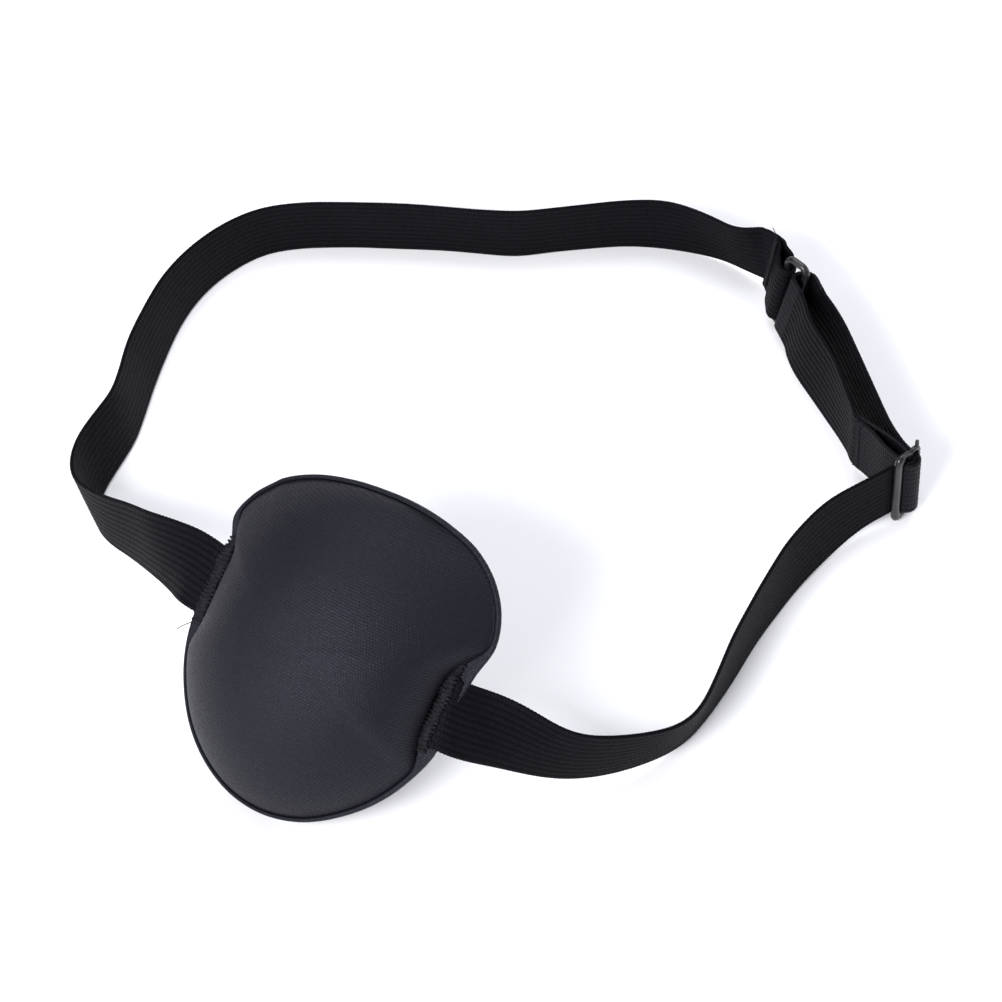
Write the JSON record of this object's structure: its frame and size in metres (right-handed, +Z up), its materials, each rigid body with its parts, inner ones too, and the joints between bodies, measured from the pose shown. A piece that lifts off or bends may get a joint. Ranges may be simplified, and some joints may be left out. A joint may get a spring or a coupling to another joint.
{
  "type": "eye patch",
  "caption": "Domed dark fabric eye patch on a ribbed elastic head strap with a plastic ring and a slide adjuster, standing on a table as an open loop.",
  "frame": {"origin": "centre of the bounding box, on the table the part stands on", "axes": "+Z up from the table; +X along the longest side, from the long strap's bend to the slider; +Y from the patch across the head opening to the far side of the strap"},
  "size_m": [0.1765, 0.1604, 0.0545],
  "materials": {
    "cover": "fine knit, slight sheen",
    "lining": "soft knit",
    "foam": "matt foam",
    "webbing": "ribbed elastic knit",
    "stitching": "dense thread",
    "hardware": "gloss black"
  },
  "bodies": {
    "patch_and_straps": {"foam_cup": "foam", "front_cover": "cover", "back_lining": "lining", "patch_seam_left": "stitching", "patch_seam_right": "stitching", "long_strap": "webbing", "ring_seam": "stitching", "strap_front_run": "webbing", "strap_feed_run": "webbing", "strap_outer_run": "webbing", "strap_inner_run": "webbing"},
    "slider": {"slider": "hardware", "strap_slider_wrap": "webbing", "strap_tail_loop": "webbing", "tail_seam": "stitching"},
    "ring": {"ring": "hardware", "strap_ring_return": "webbing"}
  },
  "joints": [
    {"name": "slider_slide", "type": "slide", "parent": "patch_and_straps", "child": "slider", "axis": [-0.3815, 0.9244, 0], "range_m": [-0.01, 0.018], "deforming": ["strap_feed_run", "strap_outer_run", "strap_inner_run"]},
    {"name": "ring_swivel", "type": "hinge", "parent": "patch_and_straps", "child": "ring", "pos_m": [0.05995, 0.05845, 0.0102], "axis": [0.1504, 0.0431, 0.9877], "range_deg": [-20, 20], "deforming": ["strap_outer_run", "strap_inner_run"]}
  ]
}
